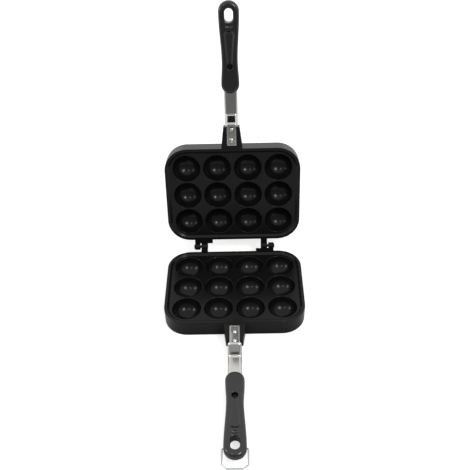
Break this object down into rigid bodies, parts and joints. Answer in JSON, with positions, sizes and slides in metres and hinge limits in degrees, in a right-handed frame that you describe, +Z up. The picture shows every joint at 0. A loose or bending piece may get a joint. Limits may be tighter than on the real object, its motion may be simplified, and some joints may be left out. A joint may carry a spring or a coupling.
{
  "type": "takoyaki pan",
  "caption": "Hinged double takoyaki pan: two cast halves with rows of round moulds, steel handle brackets, black grips and a wire locking bail.",
  "frame": {"origin": "centre of the lower half's base, on the surface it stands on", "axes": "+Z up, +Y from the handle towards the hinges, +X along the hinge pins"},
  "size_m": [0.205, 0.492, 0.3898],
  "materials": {
    "nonstick_casting": "satin dark non-stick coating on die-cast aluminium",
    "stainless_bracket": "polished stainless sheet",
    "rivet_steel": "polished",
    "phenolic_grip": "moulded phenolic, soft gloss",
    "zinc_plated_steel": "plain turned",
    "bail_wire": "bright drawn wire"
  },
  "bodies": {
    "base": {"lower_pan": "nonstick_casting", "hinge_pin_left": "zinc_plated_steel", "hinge_pin_right": "zinc_plated_steel", "lower_bracket": "stainless_bracket", "lower_rivet_inner": "rivet_steel", "lower_rivet_outer": "rivet_steel", "lower_grip": "phenolic_grip", "lower_grip_screw": "zinc_plated_steel", "lower_grip_nut": "zinc_plated_steel"},
    "lid": {"upper_pan": "nonstick_casting", "upper_bracket": "stainless_bracket", "upper_rivet_inner": "rivet_steel", "upper_rivet_outer": "rivet_steel", "upper_grip": "phenolic_grip", "upper_grip_screw": "zinc_plated_steel", "upper_grip_nut": "zinc_plated_steel"},
    "bail": {"locking_bail": "bail_wire"}
  },
  "joints": [
    {"name": "lid_hinge", "type": "hinge", "parent": "base", "child": "lid", "pos_m": [0, 0.088, 0.0265], "axis": [1, 0, 0], "range_deg": [0, 102.7]},
    {"name": "bail_pivot", "type": "hinge", "parent": "base", "child": "bail", "pos_m": [0, -0.27255, 0.0145], "axis": [-1, 0, 0], "range_deg": [-170, 151]}
  ]
}
